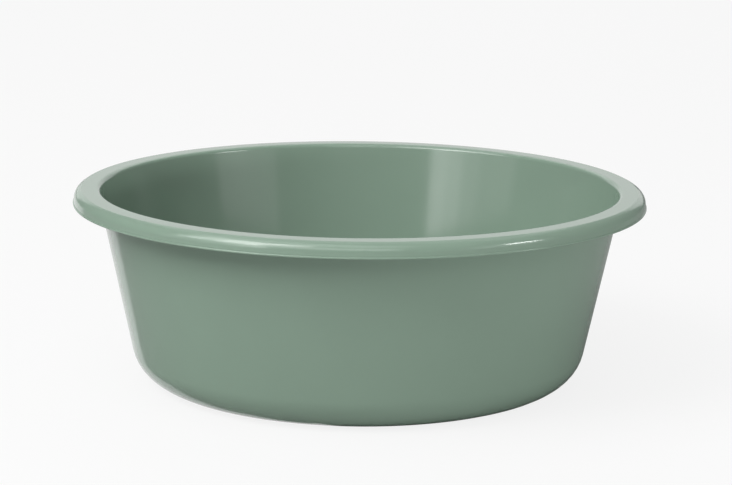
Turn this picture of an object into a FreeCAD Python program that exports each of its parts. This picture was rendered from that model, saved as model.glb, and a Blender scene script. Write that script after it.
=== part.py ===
"""Round washing-up bowl: one injection-moulded shell with a flat rim and a turned-down skirt.

Millimetres. +Z is up along the bowl's axis, and the origin is the middle of the base at table height.
"""
import FreeCAD
import Part
import Sketcher
import enum
import math
import os

# Driving sizes in millimetres, with angles in degrees.
SIZES = {
    # The whole bowl
    "rim_diameter": 360.0,  # across the bead on the skirt's lower edge
    "bowl_height": 122.5,
    # Wall and base
    "wall_thickness": 1.8,
    "wall_draft": 11.9,  # how far the wall leans out from upright
    "base_thickness": 2.0,
    "corner_radius": 25.5,  # outside, where the wall turns into the base
    # Rim: a flat top, a sloping shoulder, and a skirt that hangs clear of the wall
    "rim_thickness": 1.8,
    "rim_overhang": 15.4,  # from the wall, close under the rim, to the outside of the bead
    "mouth_radius": 3.0,  # where the wall's inside turns into the rim's flat top
    "shoulder_width": 5.2,  # from the end of the flat top to the outside of the bead
    "shoulder_slope": 26.4,
    "shoulder_edge_radius": 1.0,
    "shoulder_radius": 6.0,
    "skirt_height": 9.3,
    "skirt_flare": 3.8,
    "skirt_edge_radius": 0.45,
    "bead_height": 1.2,
    "bead_reach": 0.5,  # how far the bead stands out from the skirt
    "bead_radius": 0.42,
    # Underside: a ring to stand on, round a middle that is raised so that the bowl can't rock
    "foot_width": 9.0,
    "base_rise": 1.5,
    "step_run": 3.0,
    "step_radius": 2.0,
    # Mark where the plastic entered the mould, in a shallow well that keeps it off the table
    "gate_well_diameter": 14.0,
    "gate_well_depth": 0.6,
    "gate_diameter": 3.0,
    "gate_height": 0.4,
}

# Straight sides of the moulding's section, in order, from the axis out along the underside and back inside.
SIDES = [
    "panel_under",
    "step_under",
    "foot",
    "wall_outside",
    "channel_roof",
    "channel_slope",
    "skirt_inside",
    "skirt_edge",
    "bead_side",
    "bead_top",
    "skirt_outside",
    "shoulder",
    "rim_top",
    "wall_inside",
    "floor",
    "step_top",
    "panel_top",
    "axis",
]
LEVEL_SIDES = [
    "panel_under", "foot", "channel_roof", "skirt_edge", "bead_top", "rim_top", "floor", "panel_top"
]
PARALLEL_SIDES = [
    ("channel_slope", "shoulder"),
    ("skirt_inside", "skirt_outside"),
    ("wall_inside", "wall_outside"),
    ("step_top", "step_under"),
]
SIDE = {name: number for number, name in enumerate(SIDES)}

SAME_PLACE = 1e-4
CUBIC_MM_IN_LITRE = 1e6


class Axis(enum.IntEnum):
    """How a sketch counts its own two axes."""

    HORIZONTAL = -1
    VERTICAL = -2


class Place(enum.IntEnum):
    """How a sketch counts the points of a line or a circle, from one."""

    START = enum.auto()
    END = enum.auto()
    CENTRE = enum.auto()


def make_sheet(doc):
    """The driving sizes as a sheet of named cells, one to a row."""
    sheet = doc.addObject("Spreadsheet::Sheet", "sizes")
    for row, (name, value) in enumerate(SIZES.items(), start=1):
        sheet.set(f"A{row}", name)
        sheet.set(f"B{row}", str(value))
        sheet.setAlias(f"B{row}", name)
    doc.recompute()
    return sheet


def new_sketch(body, name, role):
    """An empty sketch on one of the body's own origin planes."""
    plane = next(item for item in body.Origin.OriginFeatures if item.Role == role)
    sketch = body.newObject("Sketcher::SketchObject", name)
    sketch.AttachmentSupport = [(plane, "")]
    sketch.MapMode = "FlatFace"
    return sketch


def bind(sketch, name, expression, kind, *places):
    """Add a named constraint of the size that the expression gives, and keep it bound to the sheet."""
    value = sketch.evalExpression(expression)
    number = sketch.addConstraint(Sketcher.Constraint(kind, *places, value))
    sketch.renameConstraint(number, name)
    sketch.setExpression(f"Constraints.{name}", expression)


def rough_corners(sheet):
    """Starts of the sides, each on the right side of its neighbours, for the constraints to make exact."""
    rim = sheet.rim_diameter / 2
    top = sheet.bowl_height
    lip = top - sheet.skirt_height
    roof = top - sheet.rim_thickness
    flat_end = rim - sheet.shoulder_width
    bend = rim - sheet.shoulder_width / 10
    wall = rim - sheet.rim_overhang
    foot_end = wall - roof * math.tan(math.radians(sheet.wall_draft))
    foot_start = foot_end - sheet.corner_radius - sheet.foot_width
    panel = foot_start - sheet.step_run
    rise = sheet.base_rise
    floor = sheet.base_thickness
    return [
        (0, rise),
        (panel, rise),
        (foot_start, 0),
        (foot_end, 0),
        (wall, roof),
        (flat_end, roof),
        (bend - sheet.rim_thickness, roof - sheet.rim_thickness),
        (bend - sheet.rim_thickness, lip),
        (rim, lip),
        (rim, lip + sheet.bead_height),
        (rim - sheet.bead_reach, lip + sheet.bead_height),
        (bend, roof),
        (flat_end, top),
        (wall - sheet.wall_thickness, top),
        (foot_end - sheet.wall_thickness, floor),
        (foot_start, floor),
        (panel, rise + floor),
        (0, rise + floor),
    ]


def draw_section(body, sheet):
    """The moulding's section: straight sides and the rim's two bends, held by the sheet's sizes."""
    sketch = new_sketch(body, "section", "XZ_Plane")
    corners = [FreeCAD.Vector(x, y, 0) for x, y in rough_corners(sheet)]
    for corner, next_corner in zip(corners, corners[1:] + corners[:1]):
        sketch.addGeometry(Part.LineSegment(corner, next_corner), False)

    def hold(kind, *places):
        sketch.addConstraint(Sketcher.Constraint(kind, *places))

    def across(name, first, second, expression):
        """Hold the distance along X between the starts of two sides."""
        bind(sketch, name, expression, "DistanceX", SIDE[first], Place.START, SIDE[second], Place.START)

    def upwards(name, first, second, expression):
        """Hold the distance along Z between the starts of two sides."""
        bind(sketch, name, expression, "DistanceY", SIDE[first], Place.START, SIDE[second], Place.START)

    def leaning(name, side, expression):
        """Hold a side's angle from level."""
        bind(sketch, name, expression, "Angle", SIDE[side])

    def thick(name, side, opposite, expression):
        """Hold the wall between the start of one side and the side across from it."""
        bind(sketch, name, expression, "Distance", SIDE[side], Place.START, SIDE[opposite])

    def bend(name, side, expression):
        """Round the corner at the start of a side with an arc that runs smoothly into both of its sides."""
        sketch.fillet(SIDE[side], Place.START, sketch.evalExpression(expression), True, False)
        bind(sketch, name, expression, "Radius", sketch.GeometryCount - 1)

    for side in range(len(SIDES)):
        hold("Coincident", side, Place.END, (side + 1) % len(SIDES), Place.START)
    for name in LEVEL_SIDES:
        hold("Horizontal", SIDE[name])
    for name, like in PARALLEL_SIDES:
        hold("Parallel", SIDE[name], SIDE[like])
    for name in ("axis", "bead_side"):
        hold("Vertical", SIDE[name])
    hold("PointOnObject", SIDE["axis"], Place.END, Axis.VERTICAL)
    hold("PointOnObject", SIDE["foot"], Place.START, Axis.HORIZONTAL)

    across("rim_radius", "panel_under", "bead_side", "sizes.rim_diameter / 2")
    upwards("height", "foot", "rim_top", "sizes.bowl_height")

    across("shoulder_reach", "rim_top", "bead_side", "sizes.shoulder_width")
    leaning("shoulder_lean", "shoulder", "180 deg - sizes.shoulder_slope * 1 deg")
    upwards("skirt_drop", "bead_side", "rim_top", "sizes.skirt_height")
    upwards("bead_rise", "bead_side", "skirt_outside", "sizes.bead_height")
    across("bead_step", "skirt_outside", "bead_side", "sizes.bead_reach")
    leaning("skirt_lean", "skirt_outside", "90 deg + sizes.skirt_flare * 1 deg")
    upwards("rim_wall", "channel_roof", "rim_top", "sizes.rim_thickness")
    thick("shoulder_wall", "rim_top", "channel_slope", "sizes.rim_thickness")
    thick("skirt_wall", "skirt_outside", "skirt_inside", "sizes.rim_thickness")

    across("overhang", "channel_roof", "bead_side", "sizes.rim_overhang")
    leaning("wall_lean", "wall_outside", "90 deg - sizes.wall_draft * 1 deg")
    thick("side_wall", "channel_roof", "wall_inside", "sizes.wall_thickness")

    # The foot's flat ring starts where the rounded corner ends.
    corner_run = "sizes.corner_radius * tan(45 deg - sizes.wall_draft / 2 * 1 deg)"
    across("foot_reach", "foot", "wall_outside", f"{corner_run} + sizes.foot_width")
    across("step_reach", "step_under", "foot", "sizes.step_run")
    upwards("rise", "foot", "panel_under", "sizes.base_rise")
    upwards("floor_wall", "foot", "floor", "sizes.base_thickness")
    upwards("panel_wall", "panel_under", "axis", "sizes.base_thickness")
    hold("Vertical", SIDE["foot"], Place.START, SIDE["step_top"], Place.START)

    # An inside bend is its outside bend less the wall, so that the wall stays even.
    body.Document.recompute()
    bend("shoulder_bend", "shoulder", "sizes.shoulder_radius")
    bend("channel_bend", "skirt_inside", "sizes.shoulder_radius - sizes.rim_thickness")
    return sketch


def ring_edges(shape, points):
    """Names of the round edges of a turned shape that pass through these points of its section."""
    names = []
    for number, edge in enumerate(shape.Edges, start=1):
        if isinstance(edge.Curve, Part.Circle):
            ring = FreeCAD.Vector(edge.Curve.Radius, edge.Curve.Center.z, 0)
            if any(ring.distanceToPoint(point) < SAME_PLACE for point in points):
                names.append(f"Edge{number}")
    if len(names) != len(points):
        raise RuntimeError(f"{len(names)} round edges found for {len(points)} corners of the section")
    return names


def round_off(body, sketch, name, sides, radius):
    """Round the edges that the starts of these sides of the section make when it is turned."""
    body.Document.recompute()
    base = body.Tip
    points = [sketch.getPoint(SIDE[side], Place.START) for side in sides]
    fillet = body.newObject("PartDesign::Fillet", name)
    fillet.Base = (base, ring_edges(base.Shape, points))
    fillet.setExpression("Radius", radius)


def disc_sketch(body, name, diameter, height):
    """A circle about the bowl's axis, at a height over the table."""
    sketch = new_sketch(body, name, "XY_Plane")
    sketch.setExpression("AttachmentOffset.Base.z", height)
    radius = sketch.evalExpression(diameter) / 2
    sketch.addGeometry(Part.Circle(FreeCAD.Vector(), FreeCAD.Vector(0, 0, 1), radius), False)
    sketch.addConstraint(Sketcher.Constraint("Coincident", 0, Place.CENTRE, Axis.HORIZONTAL, Place.START))
    bind(sketch, "diameter", diameter, "Diameter", 0)
    return sketch


def mark_gate(body):
    """A shallow round well under the middle of the base, and the gate's stub inside it."""
    body.Document.recompute()
    volume = body.Tip.Shape.Volume
    well = body.newObject("PartDesign::Pocket", "gate_well")
    well.Profile = disc_sketch(body, "gate_well_disc", "sizes.gate_well_diameter", "sizes.base_rise")
    well.Reversed = True
    well.setExpression("Length", "sizes.gate_well_depth")
    body.Document.recompute()
    if well.Shape.Volume >= volume:
        raise RuntimeError("the gate's well cut nothing")

    stub_end = "sizes.base_rise + sizes.gate_well_depth - sizes.gate_height"
    stub = body.newObject("PartDesign::Pad", "gate_stub")
    stub.Profile = disc_sketch(body, "gate_disc", "sizes.gate_diameter", stub_end)
    stub.setExpression("Length", "sizes.gate_height")


def make_bowl(doc, sheet):
    """Turn the section into the shell, round its edges and mark its gate."""
    body = doc.addObject("PartDesign::Body", "bowl")
    body.Label = "bowl"
    sketch = draw_section(body, sheet)
    shell = body.newObject("PartDesign::Revolution", "shell")
    shell.Profile = sketch
    shell.ReferenceAxis = (sketch, ["V_Axis"])
    shell.Angle = 360.0

    # The inside of the wall turns about the same centre as its outside.
    inner_corner = "sizes.corner_radius - sizes.wall_thickness"
    inner_mouth = "sizes.mouth_radius - sizes.wall_thickness"
    step_sides = ["step_under", "foot", "step_top", "panel_top"]
    round_off(body, sketch, "corner_outside", ["wall_outside"], "sizes.corner_radius")
    round_off(body, sketch, "corner_inside", ["floor"], inner_corner)
    round_off(body, sketch, "mouth_edge", ["wall_inside"], "sizes.mouth_radius")
    round_off(body, sketch, "channel_root", ["channel_roof"], inner_mouth)
    round_off(body, sketch, "shoulder_edge", ["rim_top"], "sizes.shoulder_edge_radius")
    round_off(body, sketch, "skirt_edges", ["skirt_edge", "bead_side"], "sizes.skirt_edge_radius")
    round_off(body, sketch, "bead_round", ["bead_top"], "sizes.bead_radius")
    round_off(body, sketch, "base_step", step_sides, "sizes.step_radius")
    mark_gate(body)
    return body


def check(doc, bodies):
    """Stop if a feature failed, or a body is not one valid solid."""
    for item in doc.Objects:
        if "Invalid" in item.State or "Error" in item.State:
            raise RuntimeError(f"{item.Name} did not build: {item.State}")
    for body in bodies:
        if body.Shape.isNull() or not body.Shape.isValid() or len(body.Shape.Solids) != 1:
            raise RuntimeError(f"{body.Label} is not one valid solid")


def main():
    doc = FreeCAD.newDocument("washing_up_bowl")
    bodies = [make_bowl(doc, make_sheet(doc))]
    doc.recompute()
    check(doc, bodies)
    os.makedirs("parts", exist_ok=True)
    for body in bodies:
        body.Shape.exportStep(f"parts/{body.Label}.step")
        box = body.Shape.optimalBoundingBox()
        plastic = body.Shape.Volume / CUBIC_MM_IN_LITRE
        print(f"{body.Label}: {box.XLength:.1f} x {box.YLength:.1f} x {box.ZLength:.1f} mm")
        print(f"{body.Label}: {plastic:.3f} litres of plastic")


main()
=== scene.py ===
# %% [markdown]
# # A washing-up bowl in satin plastic
# The bowl is one moulded shell: a raised base on a standing ring, a leaning wall, and a rim that turns
# over into a skirt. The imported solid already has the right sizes, so this lesson makes the surface that
# light plays on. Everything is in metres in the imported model's frame: +Z is up, and the base stands at
# zero.

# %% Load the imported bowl
import bpy
import numpy as np
from mathutils import Matrix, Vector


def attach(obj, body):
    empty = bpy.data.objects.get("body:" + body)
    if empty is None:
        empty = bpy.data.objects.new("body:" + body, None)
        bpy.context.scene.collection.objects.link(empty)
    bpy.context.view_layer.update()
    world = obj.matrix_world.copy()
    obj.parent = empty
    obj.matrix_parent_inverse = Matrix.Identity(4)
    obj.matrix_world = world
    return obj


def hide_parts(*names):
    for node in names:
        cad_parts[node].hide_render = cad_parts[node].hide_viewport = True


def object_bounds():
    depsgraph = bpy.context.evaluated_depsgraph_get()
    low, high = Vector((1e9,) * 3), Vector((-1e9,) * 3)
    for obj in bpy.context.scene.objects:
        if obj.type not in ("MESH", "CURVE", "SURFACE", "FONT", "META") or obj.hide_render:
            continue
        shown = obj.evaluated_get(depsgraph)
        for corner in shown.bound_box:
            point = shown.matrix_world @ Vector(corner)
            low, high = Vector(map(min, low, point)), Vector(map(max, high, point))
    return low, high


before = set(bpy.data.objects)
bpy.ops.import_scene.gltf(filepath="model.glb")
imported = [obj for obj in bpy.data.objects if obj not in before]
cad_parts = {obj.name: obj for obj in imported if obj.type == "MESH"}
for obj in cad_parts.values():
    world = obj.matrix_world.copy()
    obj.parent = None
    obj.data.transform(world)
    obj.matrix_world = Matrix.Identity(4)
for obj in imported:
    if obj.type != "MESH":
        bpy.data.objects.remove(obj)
cad_box = [list(corner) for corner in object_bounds()]
print("packed nodes:", sorted(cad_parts))
print("packed box:", np.round(cad_box, 4).tolist())

# %% [markdown]
# ## The section of the moulding
# A turned thing is known from one cut through its wall. Ours could be traced point by point, or modelled
# as a thin sheet with a Solidify modifier, but both lose the even wall round the turned-over rim. A
# designer gives a few sizes and lets the corners follow from them. So the sizes below are the bowl's own,
# its height comes from the frame, and the corners are worked out.

# %% Sizes of the bowl
HEIGHT = cad_box[1][2]
RIM_EDGE_RADIUS = 0.1800  # outside of the bead on the skirt's lower edge
WALL = 0.0018
WALL_DRAFT = np.radians(11.9)  # the wall's lean from upright
BASE = 0.0020
CORNER_RADIUS = 0.0255  # outside, between wall and base

RIM_WALL = 0.0018
RIM_OVERHANG = 0.0154  # from the wall, close under the rim, to the outside of the bead
MOUTH_RADIUS = 0.0030
SHOULDER_WIDTH = 0.0052
SHOULDER_SLOPE = np.radians(26.4)
SHOULDER_EDGE_RADIUS = 0.0010
SHOULDER_RADIUS = 0.0060
SKIRT_HEIGHT = 0.0093
SKIRT_FLARE = np.radians(3.8)
SKIRT_EDGE_RADIUS = 0.00045
BEAD_HEIGHT = 0.0012
BEAD_REACH = 0.0005  # how far the bead stands out from the skirt
BEAD_RADIUS = 0.00042
BEAD_ROOT_RADIUS = 0.00005

FOOT_WIDTH = 0.0090
BASE_RISE = 0.0015
STEP_RUN = 0.0030
STEP_RADIUS = 0.0020

GATE_WELL_RADIUS = 0.0070
GATE_WELL_DEPTH = 0.0006
GATE_RADIUS = 0.0015
GATE_HEIGHT = 0.0004
GATE_EDGE_RADIUS = 0.00015
print(f"bowl: {HEIGHT:.4f} m high, {2 * RIM_EDGE_RADIUS:.3f} m across the rim")


# %% Corners of the section
def meet(point_a, angle_a, point_b, angle_b):
    """Where two lines cross: solve a + s u = b + t v for the lengths s and t along directions u and v."""
    u = np.array([np.cos(angle_a), np.sin(angle_a)])
    v = np.array([np.cos(angle_b), np.sin(angle_b)])
    s, _ = np.linalg.solve(np.column_stack([u, -v]), np.subtract(point_b, point_a))
    return np.add(point_a, s * u)


def section_corners():
    """Corners (distance from the axis, height) and their radii, from the axis out below and back inside.

    An inside line is its outside line moved in by the wall, which along a level line is wall / cos(lean).
    At the base corner, the mouth and the shoulder, the inner radius of a bend is its outer radius less the
    wall, so that both arcs share a centre.
    """
    level = 0.0
    wall_lean = np.pi / 2 - WALL_DRAFT
    skirt_lean = np.pi / 2 + SKIRT_FLARE
    roof = HEIGHT - RIM_WALL
    lip = HEIGHT - SKIRT_HEIGHT
    bead_top = lip + BEAD_HEIGHT
    skirt_foot = (RIM_EDGE_RADIUS - BEAD_REACH, bead_top)
    skirt_inside = (skirt_foot[0] - RIM_WALL / np.cos(SKIRT_FLARE), bead_top)
    flat_end = (RIM_EDGE_RADIUS - SHOULDER_WIDTH, HEIGHT)
    slope_inside = (flat_end[0], HEIGHT - RIM_WALL / np.cos(SHOULDER_SLOPE))
    wall_top = (RIM_EDGE_RADIUS - RIM_OVERHANG, roof)
    wall_inside = (wall_top[0] - WALL / np.cos(WALL_DRAFT), roof)
    foot_end = meet((0, 0), level, wall_top, wall_lean)
    foot_start = foot_end[0] - CORNER_RADIUS * np.tan(wall_lean / 2) - FOOT_WIDTH
    panel_end = foot_start - STEP_RUN
    well_top = BASE_RISE + GATE_WELL_DEPTH
    gate_end = well_top - GATE_HEIGHT
    corners = [
        ((0, gate_end), 0),
        ((GATE_RADIUS, gate_end), GATE_EDGE_RADIUS),
        ((GATE_RADIUS, well_top), GATE_EDGE_RADIUS),
        ((GATE_WELL_RADIUS, well_top), GATE_EDGE_RADIUS),
        ((GATE_WELL_RADIUS, BASE_RISE), GATE_EDGE_RADIUS),
        ((panel_end, BASE_RISE), STEP_RADIUS),
        ((foot_start, 0), STEP_RADIUS),
        (foot_end, CORNER_RADIUS),
        (wall_top, MOUTH_RADIUS - WALL),
        (meet(wall_top, level, slope_inside, -SHOULDER_SLOPE), SHOULDER_EDGE_RADIUS + RIM_WALL),
        (meet(slope_inside, -SHOULDER_SLOPE, skirt_inside, skirt_lean), SHOULDER_RADIUS - RIM_WALL),
        (meet((0, lip), level, skirt_inside, skirt_lean), SKIRT_EDGE_RADIUS),
        ((RIM_EDGE_RADIUS, lip), SKIRT_EDGE_RADIUS),
        ((RIM_EDGE_RADIUS, bead_top), BEAD_RADIUS),
        (skirt_foot, BEAD_ROOT_RADIUS),
        (meet(flat_end, -SHOULDER_SLOPE, skirt_foot, skirt_lean), SHOULDER_RADIUS),
        (flat_end, SHOULDER_EDGE_RADIUS),
        (meet(flat_end, level, wall_inside, wall_lean), MOUTH_RADIUS),
        (meet((0, BASE), level, wall_inside, wall_lean), CORNER_RADIUS - WALL),
        ((foot_start, BASE), STEP_RADIUS),
        ((panel_end, BASE + BASE_RISE), STEP_RADIUS),
        ((0, BASE + BASE_RISE), 0),
    ]
    places, radii = zip(*corners)
    return np.array(places, float), np.array(radii, float)


places, radii = section_corners()
print(f"section: {len(places)} corners, radii up to {radii.max():.4f} m")

# %% [markdown]
# ## Rounding the section
# A Bevel modifier could round the finished mesh, but it guesses its widths where bends of different size
# meet. Here each corner becomes a true arc before the section is turned. The arc's tangent is known
# exactly, so the surface normals are known too, and a glossy wall then shows clean reflections even on
# long faces.

# %% Arcs and straight runs of the section
ARC_STEPS = 10
RUN_POINTS = 3  # points inside each straight run


def quarter_turn(vectors):
    """Each vector (x, y) turned left by a right angle, which is (-y, x)."""
    return np.stack([-vectors[..., 1], vectors[..., 0]], axis=-1)


def rounded_section(places, radii):
    """Points of the section and their outward normals.

    At a corner that turns by t, the arc starts radius * tan(t / 2) before the corner, about a centre one
    radius to the inner side. Its points are centre + arm turned by t * s, and its heading is the incoming
    direction turned by t * s, for s from 0 to 1. The normal points to the right of the heading, away from
    the plastic.
    """
    along = np.diff(places, axis=0)
    along /= np.linalg.norm(along, axis=1, keepdims=True)
    before, after = along[:-1], along[1:]
    turn = np.arctan2((quarter_turn(before) * after).sum(axis=1), (before * after).sum(axis=1))
    radius = radii[1:-1, None]
    reach = radius * np.tan(np.abs(turn) / 2)[:, None]
    start = places[1:-1] - reach * before
    end = places[1:-1] + reach * after
    centre = start + radius * np.sign(turn)[:, None] * quarter_turn(before)

    angle = (turn[:, None] * np.linspace(0, 1, ARC_STEPS + 1))[..., None]
    arm, heading = (start - centre)[:, None], before[:, None]
    arcs = centre[:, None] + np.cos(angle) * arm + np.sin(angle) * quarter_turn(arm)
    arc_headings = np.cos(angle) * heading + np.sin(angle) * quarter_turn(heading)

    run_start, run_end = np.vstack([places[:1], end]), np.vstack([start, places[-1:]])
    share = np.linspace(0, 1, RUN_POINTS + 2)[1:-1, None]
    runs = run_start[:, None] + share * (run_end - run_start)[:, None]
    run_headings = np.broadcast_to(along[:, None], runs.shape)

    def in_order(first, runs, arcs, last):
        """The first row, then each run with the arc after it, then the last run and the last row."""
        return np.vstack([first, np.hstack([runs[:-1], arcs]).reshape(-1, 2), runs[-1], last])

    points = in_order(places[:1], runs, arcs, places[-1:])
    headings = in_order(along[:1], run_headings, arc_headings, along[-1:])
    return points, -quarter_turn(headings)


section, section_normals = rounded_section(places, radii)
print(f"rounded section: {len(section)} points, widest at {section[:, 0].max():.5f} m")

# %% [markdown]
# ## Turning the shell
# Blender's Spin or Screw would turn the section too, but they leave a seam to merge and normals to check.
# With numpy the whole shell is one grid: a row for each point of the section, a column for each angle.
# The grid wraps round on itself, and a fan of triangles closes each pole, so the mesh is watertight from
# the start.

# %% Turn the section about the axis
COLUMNS = 320


def turned(rows, angles):
    """The grid of a turned surface: a row (r, z) at angle a becomes (r cos a, r sin a, z)."""
    r, z = rows[:, :1], rows[:, 1:]
    return np.stack([r * np.cos(angles), r * np.sin(angles), z + 0 * angles], axis=-1).reshape(-1, 3)


def turned_shell(name, section, normals, columns):
    """A closed mesh of the section turned about Z: quads between its rings, and a fan at each pole."""
    angles = np.linspace(0, 2 * np.pi, columns, endpoint=False)
    poles = [[0, 0, section[0, 1]], [0, 0, section[-1, 1]]]
    pole_normals = [[0, 0, -1], [0, 0, 1]]
    points = np.vstack([turned(section[1:-1], angles), poles])
    point_normals = np.vstack([turned(normals[1:-1], angles), pole_normals])

    ring = np.arange((len(section) - 2) * columns).reshape(-1, columns)
    ahead = np.roll(ring, -1, axis=1)
    low_pole, high_pole = np.full(columns, len(points) - 2), np.full(columns, len(points) - 1)
    quads = np.stack([ring[:-1], ahead[:-1], ahead[1:], ring[1:]], axis=-1).reshape(-1, 4)
    low_fan = np.stack([low_pole, ahead[0], ring[0]], axis=-1)
    high_fan = np.stack([ring[-1], ahead[-1], high_pole], axis=-1)

    mesh = bpy.data.meshes.new(name)
    mesh.from_pydata(points.tolist(), [], quads.tolist() + low_fan.tolist() + high_fan.tolist())
    mesh.shade_smooth()
    mesh.normals_split_custom_set_from_vertices(point_normals.tolist())
    piece = bpy.data.objects.new(name, mesh)
    bpy.context.scene.collection.objects.link(piece)
    return piece


shell = turned_shell("bowl_shell", section, section_normals, COLUMNS)
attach(shell, "root")
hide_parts("bowl")
print(f"shell: {len(shell.data.vertices)} vertices, {len(shell.data.polygons)} faces")

# %% [markdown]
# ## Satin plastic
# The bowl is polypropylene with its green pigment mixed in, pressed against a polished mould. One flat
# colour with one roughness would look like paint, so two faint things vary over it: the pigment's tone
# and the haze of the gloss. They read Object coordinates, so that they stay on the bowl wherever it is
# put.

# %% Colour and gloss of the plastic
PIGMENT_DEEP = (0.193, 0.270, 0.212, 1)
PIGMENT_PALE = (0.199, 0.279, 0.219, 1)
TONE_CELL, TONE_DETAIL = 0.06, 2
GLOSS_CLEAR, GLOSS_HAZY = 0.11, 0.16  # roughness
HAZE_CELL, HAZE_DETAIL = 0.025, 3
NOISE_LOW, NOISE_HIGH = 0.3, 0.7  # most of a noise texture lies between these
PLASTIC_IOR = 1.49

plastic = bpy.data.materials.new("satin_polypropylene")
plastic.use_nodes = True
nodes, links = plastic.node_tree.nodes, plastic.node_tree.links
surface = nodes["Principled BSDF"]
surface.inputs["IOR"].default_value = PLASTIC_IOR
on_bowl = nodes.new("ShaderNodeTexCoord").outputs["Object"]


def noise(cell, detail):
    """Noise from 0 to 1 in patches about `cell` metres across: the texture's scale is 1 / cell."""
    texture = nodes.new("ShaderNodeTexNoise")
    texture.inputs["Scale"].default_value = 1 / cell
    texture.inputs["Detail"].default_value = detail
    links.new(on_bowl, texture.inputs["Vector"])
    return texture.outputs["Fac"]


tone = nodes.new("ShaderNodeValToRGB")
deep, pale = tone.color_ramp.elements
deep.position, deep.color = NOISE_LOW, PIGMENT_DEEP
pale.position, pale.color = NOISE_HIGH, PIGMENT_PALE
links.new(noise(TONE_CELL, TONE_DETAIL), tone.inputs["Fac"])
links.new(tone.outputs["Color"], surface.inputs["Base Color"])

haze = nodes.new("ShaderNodeMapRange")
haze.inputs["From Min"].default_value = NOISE_LOW
haze.inputs["From Max"].default_value = NOISE_HIGH
haze.inputs["To Min"].default_value = GLOSS_CLEAR
haze.inputs["To Max"].default_value = GLOSS_HAZY
links.new(noise(HAZE_CELL, HAZE_DETAIL), haze.inputs["Value"])
links.new(haze.outputs["Result"], surface.inputs["Roughness"])
shell.data.materials.append(plastic)
print(f"plastic: roughness {GLOSS_CLEAR} to {GLOSS_HAZY}, IOR {PLASTIC_IOR}")

# %% [markdown]
# ## What the mould leaves behind
# A thin wall shrinks a little unevenly as it cools, so it has long shallow waves, and the mould gives it
# a fine grain. Under the base, where nobody polishes a mould, the lathe's turning marks stay as rings.
# All three are far too small to model, so Bump nodes tilt the normals instead, one after another, each
# with its real height in metres.

# %% Waves, grain and turning marks
WAVE_CELL, WAVE_DETAIL, WAVE_HEIGHT = 0.045, 0, 0.00006
GRAIN_CELL, GRAIN_DETAIL, GRAIN_HEIGHT = 0.0009, 1, 0.000002
RING_SPACING, RING_HEIGHT = 0.0007, 0.000006
RING_RATE = 20  # the texture takes the sine of 20 * scale * distance from the axis
MICRONS = 1e6


def raised(height, metres, under=None):
    """A normal tilted as if the surface were `metres` higher where height is 1, over an earlier normal."""
    bump = nodes.new("ShaderNodeBump")
    bump.inputs["Distance"].default_value = metres
    links.new(height, bump.inputs["Height"])
    if under:
        links.new(under, bump.inputs["Normal"])
    return bump.outputs["Normal"]


rings = nodes.new("ShaderNodeTexWave")
rings.wave_type, rings.rings_direction = "RINGS", "Z"
rings.inputs["Scale"].default_value = 2 * np.pi / (RING_RATE * RING_SPACING)
links.new(on_bowl, rings.inputs["Vector"])

height_of = nodes.new("ShaderNodeSeparateXYZ")
links.new(on_bowl, height_of.inputs["Vector"])
below = nodes.new("ShaderNodeMath")
below.operation = "LESS_THAN"  # 1 under the base, 0 from the inside of the base up
below.inputs[1].default_value = (BASE + BASE_RISE) / 2
links.new(height_of.outputs["Z"], below.inputs[0])
turning = nodes.new("ShaderNodeMath")
turning.operation = "MULTIPLY"
links.new(rings.outputs["Fac"], turning.inputs[0])
links.new(below.outputs["Value"], turning.inputs[1])

waves = raised(noise(WAVE_CELL, WAVE_DETAIL), WAVE_HEIGHT)
grain = raised(noise(GRAIN_CELL, GRAIN_DETAIL), GRAIN_HEIGHT, under=waves)
marks = raised(turning.outputs["Value"], RING_HEIGHT, under=grain)
links.new(marks, surface.inputs["Normal"])
for label, metres in (("waves", WAVE_HEIGHT), ("grain", GRAIN_HEIGHT), ("rings", RING_HEIGHT)):
    print(f"{label}: {metres * MICRONS:.0f} microns high")

# %% [markdown]
# ## The paper floor
# The photograph has a white ground. A pale sheet under plain light comes out light grey, and more light
# would bleach the bowl. So for the camera and for reflections most of the sheet's look is plain white,
# and the rest is paper, which keeps the bowl's soft shadow. All other light meets plain paper, so the
# bowl is lit no more than a real sheet would light it. The sheet lies a hair below the foot, so that the
# two faces never share a plane.

# %% Floor
FLOOR_REACH = 6.0
FLOOR_HEIGHT = -0.0002
PAPER_SHADE = 0.62


def card(name, outline, height, shade):
    """A level matt card: points (x, y) of its outline become (x, y, height). Shade 0 is black, 1 white."""
    points = np.insert(np.asarray(outline, float), 2, height, axis=1)
    mesh = bpy.data.meshes.new(name)
    mesh.from_pydata(points.tolist(), [], [range(len(points))])
    matt = bpy.data.materials.new(name)
    matt.use_nodes = True
    surface = matt.node_tree.nodes["Principled BSDF"]
    surface.inputs["Base Color"].default_value = (shade, shade, shade, 1)
    surface.inputs["Roughness"].default_value = 1
    surface.inputs["Specular IOR Level"].default_value = 0
    mesh.materials.append(matt)
    made = bpy.data.objects.new(name, mesh)
    bpy.context.scene.collection.objects.link(made)
    return made


square = np.array([[-1, -1], [1, -1], [1, 1], [-1, 1]])
floor = card("paper_floor", square * FLOOR_REACH, FLOOR_HEIGHT, PAPER_SHADE)
print(f"floor: {2 * FLOOR_REACH:.0f} m across, paper {PAPER_SHADE}")

# %% White for the camera and for reflections
WHITE_SHARE = 0.85

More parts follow.
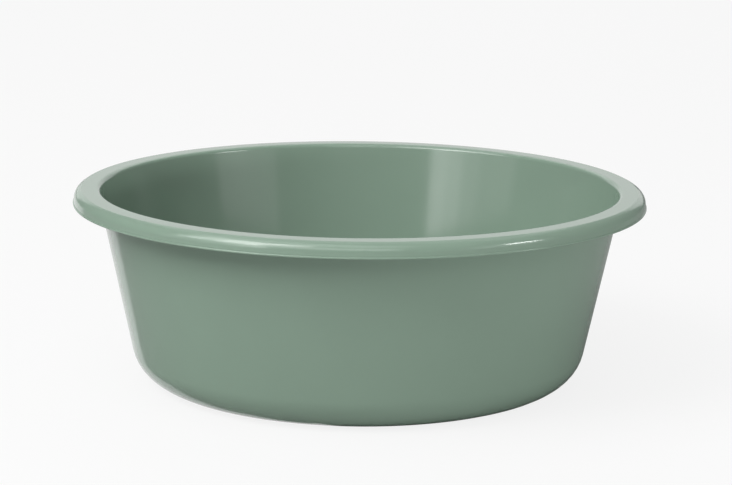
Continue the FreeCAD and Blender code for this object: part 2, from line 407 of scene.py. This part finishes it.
sheet = floor.active_material.node_tree
ray = sheet.nodes.new("ShaderNodeLightPath")
seen = ray.outputs["Is Camera Ray"]
for kind in ("Is Glossy Ray", "Is Transmission Ray"):
    either = sheet.nodes.new("ShaderNodeMath")
    either.operation = "MAXIMUM"
    sheet.links.new(seen, either.inputs[0])
    sheet.links.new(ray.outputs[kind], either.inputs[1])
    seen = either.outputs["Value"]
share = sheet.nodes.new("ShaderNodeMath")
share.operation = "MULTIPLY"
share.inputs[1].default_value = WHITE_SHARE
sheet.links.new(seen, share.inputs[0])
white = sheet.nodes.new("ShaderNodeEmission")  # its strength is 1, which is white
mixed = sheet.nodes.new("ShaderNodeMixShader")
sheet.links.new(share.outputs["Value"], mixed.inputs["Fac"])
sheet.links.new(sheet.nodes["Principled BSDF"].outputs["BSDF"], mixed.inputs[1])
sheet.links.new(white.outputs["Emission"], mixed.inputs[2])
sheet.links.new(mixed.outputs["Shader"], sheet.nodes["Material Output"].inputs["Surface"])
print(f"floor seen as: {WHITE_SHARE} white, {1 - WHITE_SHARE:.2f} paper")

# %% [markdown]
# ## Studio light
# Big soft lamps suit a glossy shell: it shows each one as a reflection with an edge, and the edges tell
# the eye how the surface bends. A lamp is given as the bowl sees it: from which angle to which it reaches
# round from the camera's side, from how low to how high, and how bright it looks. A dim room fills in all
# round.

# %% Softboxes
AIM = np.array([0, 0, 0.08])  # a point inside the bowl
LAMP_DISTANCE = 3.0


def softbox(name, left, right, low, high, radiance):
    """A rectangle of light turned to the bowl, at aim + distance * (sin a cos e, -cos a cos e, sin e).

    a is the middle of its angles round from the camera, to the right where positive, and e the middle of
    its angles up. Seen over an angle t, it is 2 * distance * tan(t / 2) across, and its width is also times
    cos e, because angles round the bowl draw together higher up. A square metre of radiance L sends out
    pi * L watts.
    """
    a, e = np.radians([left + right, low + high]) / 2
    wide, tall = np.radians([right - left, high - low])
    toward = np.array([np.sin(a) * np.cos(e), -np.cos(a) * np.cos(e), np.sin(e)])
    light = bpy.data.lights.new(name, "AREA")
    light.shape = "RECTANGLE"
    light.size = 2 * LAMP_DISTANCE * np.tan(wide / 2) * np.cos(e)
    light.size_y = 2 * LAMP_DISTANCE * np.tan(tall / 2)
    light.energy = np.pi * radiance * light.size * light.size_y
    lamp = bpy.data.objects.new(name, light)
    turn = Matrix.Rotation(a, 4, "Z") @ Matrix.Rotation(np.pi / 2 - e, 4, "X")
    lamp.matrix_world = Matrix.Translation(AIM + LAMP_DISTANCE * toward) @ turn
    lamp.visible_camera = False
    bpy.context.scene.collection.objects.link(lamp)
    return lamp


lamps = [
    softbox("key_far", left=-80, right=-62, low=25, high=55, radiance=5.0),
    softbox("key", left=-62, right=-39, low=25, high=55, radiance=9.0),
    softbox("key_edge", left=-39, right=-23, low=38, high=58, radiance=5.5),
    softbox("ceiling", left=-102, right=18, low=58, high=82, radiance=1.65),
    softbox("back_ceiling", left=120, right=240, low=58, high=82, radiance=0.65),
    softbox("front_band", left=-45, right=15, low=22, high=40, radiance=2.4),
    softbox("right_patch", left=42, right=73, low=2, high=22, radiance=0.85),
    softbox("back_low", left=150, right=210, low=2, high=22, radiance=0.72),
    softbox("back_high", left=150, right=210, low=22, high=55, radiance=1.1),
]
print("lamps, in watts:", {lamp.name: round(lamp.data.energy) for lamp in lamps})

# %% [markdown]
# ## A glow and some gleams
# Two kinds of lamp do only half of a lamp's work. A gleam is seen in reflections and lights nothing: the
# low ones draw the streak inside the bowl, which fades to the right, and one more draws the bright line
# on the right of the rim. So the shadow under the rim stays dark. The glow does the reverse: it lights
# the right side of the wall from near the floor, and puts no line of its own on the rim.

# %% Glow, gleams and the room
ROOM = 0.18

glow = softbox("right_low", left=35, right=100, low=0, high=4, radiance=15)
glow.visible_glossy = False
gleams = [
    softbox("strip", left=-43, right=-35, low=2, high=22, radiance=3.5),
    softbox("strip_fade", left=-51, right=-43, low=2, high=22, radiance=2.6),
    softbox("strip_end", left=-60, right=-51, low=2, high=22, radiance=1.4),
    softbox("left_low", left=-80, right=-60, low=2, high=22, radiance=0.8),
    softbox("right_spot", left=59, right=74, low=18, high=25, radiance=21),
]
for gleam in gleams:
    gleam.visible_diffuse = False
world = bpy.data.worlds.new("dim_room")
world.use_nodes = True
world.node_tree.nodes["Background"].inputs["Color"].default_value = (ROOM, ROOM, ROOM, 1)
bpy.context.scene.world = world
print("glow and gleams, in watts:", {lamp.name: round(lamp.data.energy) for lamp in [glow, *gleams]})

# %% [markdown]
# ## A dark card
# White paper all round would rim both sides of the bowl with light. A photographer stops that with a dark
# card. This one lies on the paper for reflections alone, and leaves the paper free behind the bowl and
# out to the left of there, which is why only the left side of the wall has a bright strip with a clean
# edge.

# %% Dark card
DULL = 0.3
CARD_NEAR_FOOT = [
    (0.005, -0.117), (-0.022, -0.127), (-0.065, -0.114),
    (-0.099, -0.092), (-0.128, -0.069), (-0.15, -0.035),
]
CARD_LEFT = [(-0.183, 0.016), (-3, 3.34), (-FLOOR_REACH, 3.34), (-FLOOR_REACH, -FLOOR_REACH)]
CARD_RIGHT = [(FLOOR_REACH, -FLOOR_REACH), (FLOOR_REACH, FLOOR_REACH), (0.12, FLOOR_REACH), (0.12, 0)]

dull_card = card("dull_card", CARD_NEAR_FOOT + CARD_LEFT + CARD_RIGHT, FLOOR_HEIGHT / 2, DULL)
for sight in ("visible_camera", "visible_diffuse", "visible_transmission", "visible_shadow"):
    setattr(dull_card, sight, False)
print(f"card: {len(dull_card.data.vertices)} points round its edge, grey {DULL}")

# %% [markdown]
# ## Camera
# The rim's two ellipses and the base line give the view: a long lens, about a metre and a half away and a
# little above. The lens comes from the focal length in pixels, which is the image's width times lens over
# sensor.

# %% Camera at the photograph's angle
IMAGE_WIDTH = 732
FOCAL_PIXELS = 2413
SENSOR_WIDTH = 36  # millimetres
CAMERA_PLACE = (0, -1.4978, 0.3951)
TILT_DOWN, TURN_RIGHT, ROLL = 0.2035, 0.0028, 0.0118  # radians

view = bpy.data.cameras.new("view")
view.sensor_width = SENSOR_WIDTH
view.lens = SENSOR_WIDTH * FOCAL_PIXELS / IMAGE_WIDTH
camera = bpy.data.objects.new("view", view)
turn = (
    Matrix.Rotation(-TURN_RIGHT, 4, "Z")
    @ Matrix.Rotation(np.pi / 2 - TILT_DOWN, 4, "X")
    @ Matrix.Rotation(ROLL, 4, "Z")
)
camera.matrix_world = Matrix.Translation(CAMERA_PLACE) @ turn
bpy.context.scene.collection.objects.link(camera)
bpy.context.scene.camera = camera
bpy.context.scene.view_settings.view_transform = "Standard"
print(f"camera: {view.lens:.1f} mm lens, {np.degrees(TILT_DOWN):.1f} degrees down")
